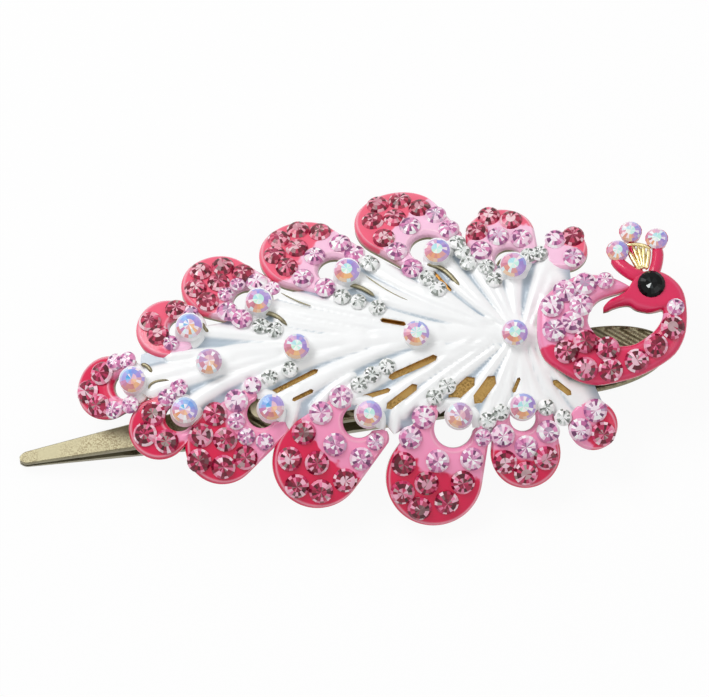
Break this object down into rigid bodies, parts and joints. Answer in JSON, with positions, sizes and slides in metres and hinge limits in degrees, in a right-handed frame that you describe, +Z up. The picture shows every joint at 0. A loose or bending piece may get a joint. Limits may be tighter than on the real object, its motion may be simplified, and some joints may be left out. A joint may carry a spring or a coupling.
{
  "type": "rhinestone hair clip",
  "caption": "Beak hair clip with a spring hinge that carries a domed peacock ornament of white and pink enamel set with pink, clear and iridescent stones.",
  "frame": {"origin": "middle of the lower jaw's flat underside, under the clip's centre line", "axes": "+X along the clip from the prong to the thumb tabs, +Y across it, +Z up to the ornament"},
  "size_m": [0.1058, 0.0547, 0.0154],
  "materials": {
    "white_enamel": "gloss",
    "pink_enamel": "gloss",
    "pink_stone": "polished",
    "iridescent_stone": "polished",
    "clear_stone": "polished",
    "black_stone": "polished",
    "pale_gold": "satin",
    "spring_steel": "satin",
    "solder": "matte"
  },
  "bodies": {
    "base": {"lower_jaw": "pale_gold", "hinge_pin": "spring_steel", "torsion_spring": "spring_steel"},
    "ornament": {"upper_jaw": "pale_gold", "solder_joint_front": "solder", "solder_joint_rear": "solder", "tail_fan": "white_enamel", "bird_body": "pink_enamel", "bird_pave": "pink_stone", "eye_stone": "black_stone", "feather_01_pave": "pink_stone", "feather_02_pave": "pink_stone", "feather_03_pave": "pink_stone", "feather_04_pave": "pink_stone", "feather_05_pave": "pink_stone", "feather_06_pave": "pink_stone", "feather_07_pave": "pink_stone", "feather_08_pave": "pink_stone", "feather_09_pave": "pink_stone", "feather_10_pave": "pink_stone", "feather_11_pave": "pink_stone", "feather_12_pave": "pink_stone", "feather_13_pave": "pink_stone", "ab_stone_01": "iridescent_stone", "ab_stone_02": "iridescent_stone", "ab_stone_03": "iridescent_stone", "ab_stone_04": "iridescent_stone", "ab_stone_05": "iridescent_stone", "ab_stone_06": "iridescent_stone", "ab_stone_07": "iridescent_stone", "ab_stone_08": "iridescent_stone", "ab_stone_09": "iridescent_stone", "ab_stone_10": "iridescent_stone", "ab_stone_11": "iridescent_stone", "ab_stone_12": "iridescent_stone", "ab_stone_13": "iridescent_stone", "ab_stone_14": "iridescent_stone", "ab_stone_15": "iridescent_stone", "crown_stone_1": "iridescent_stone", "crown_stone_2": "iridescent_stone", "crown_stone_3": "iridescent_stone", "clear_row_01": "clear_stone", "clear_row_02": "clear_stone", "clear_row_03": "clear_stone", "clear_row_04": "clear_stone", "clear_row_05": "clear_stone", "clear_row_06": "clear_stone", "clear_row_07": "clear_stone", "clear_row_08": "clear_stone", "clear_row_09": "clear_stone", "clear_row_10": "clear_stone", "clear_row_11": "clear_stone", "clear_row_12": "clear_stone"}
  },
  "joints": [
    {"name": "jaw_hinge", "type": "hinge", "parent": "base", "child": "ornament", "pos_m": [0.027, 0, 0.0045], "axis": [0, 1, 0], "range_deg": [0, 16], "stiffness_Nm_per_rad": 0.25, "springref_deg": -45.84, "deforming": ["torsion_spring"]}
  ]
}
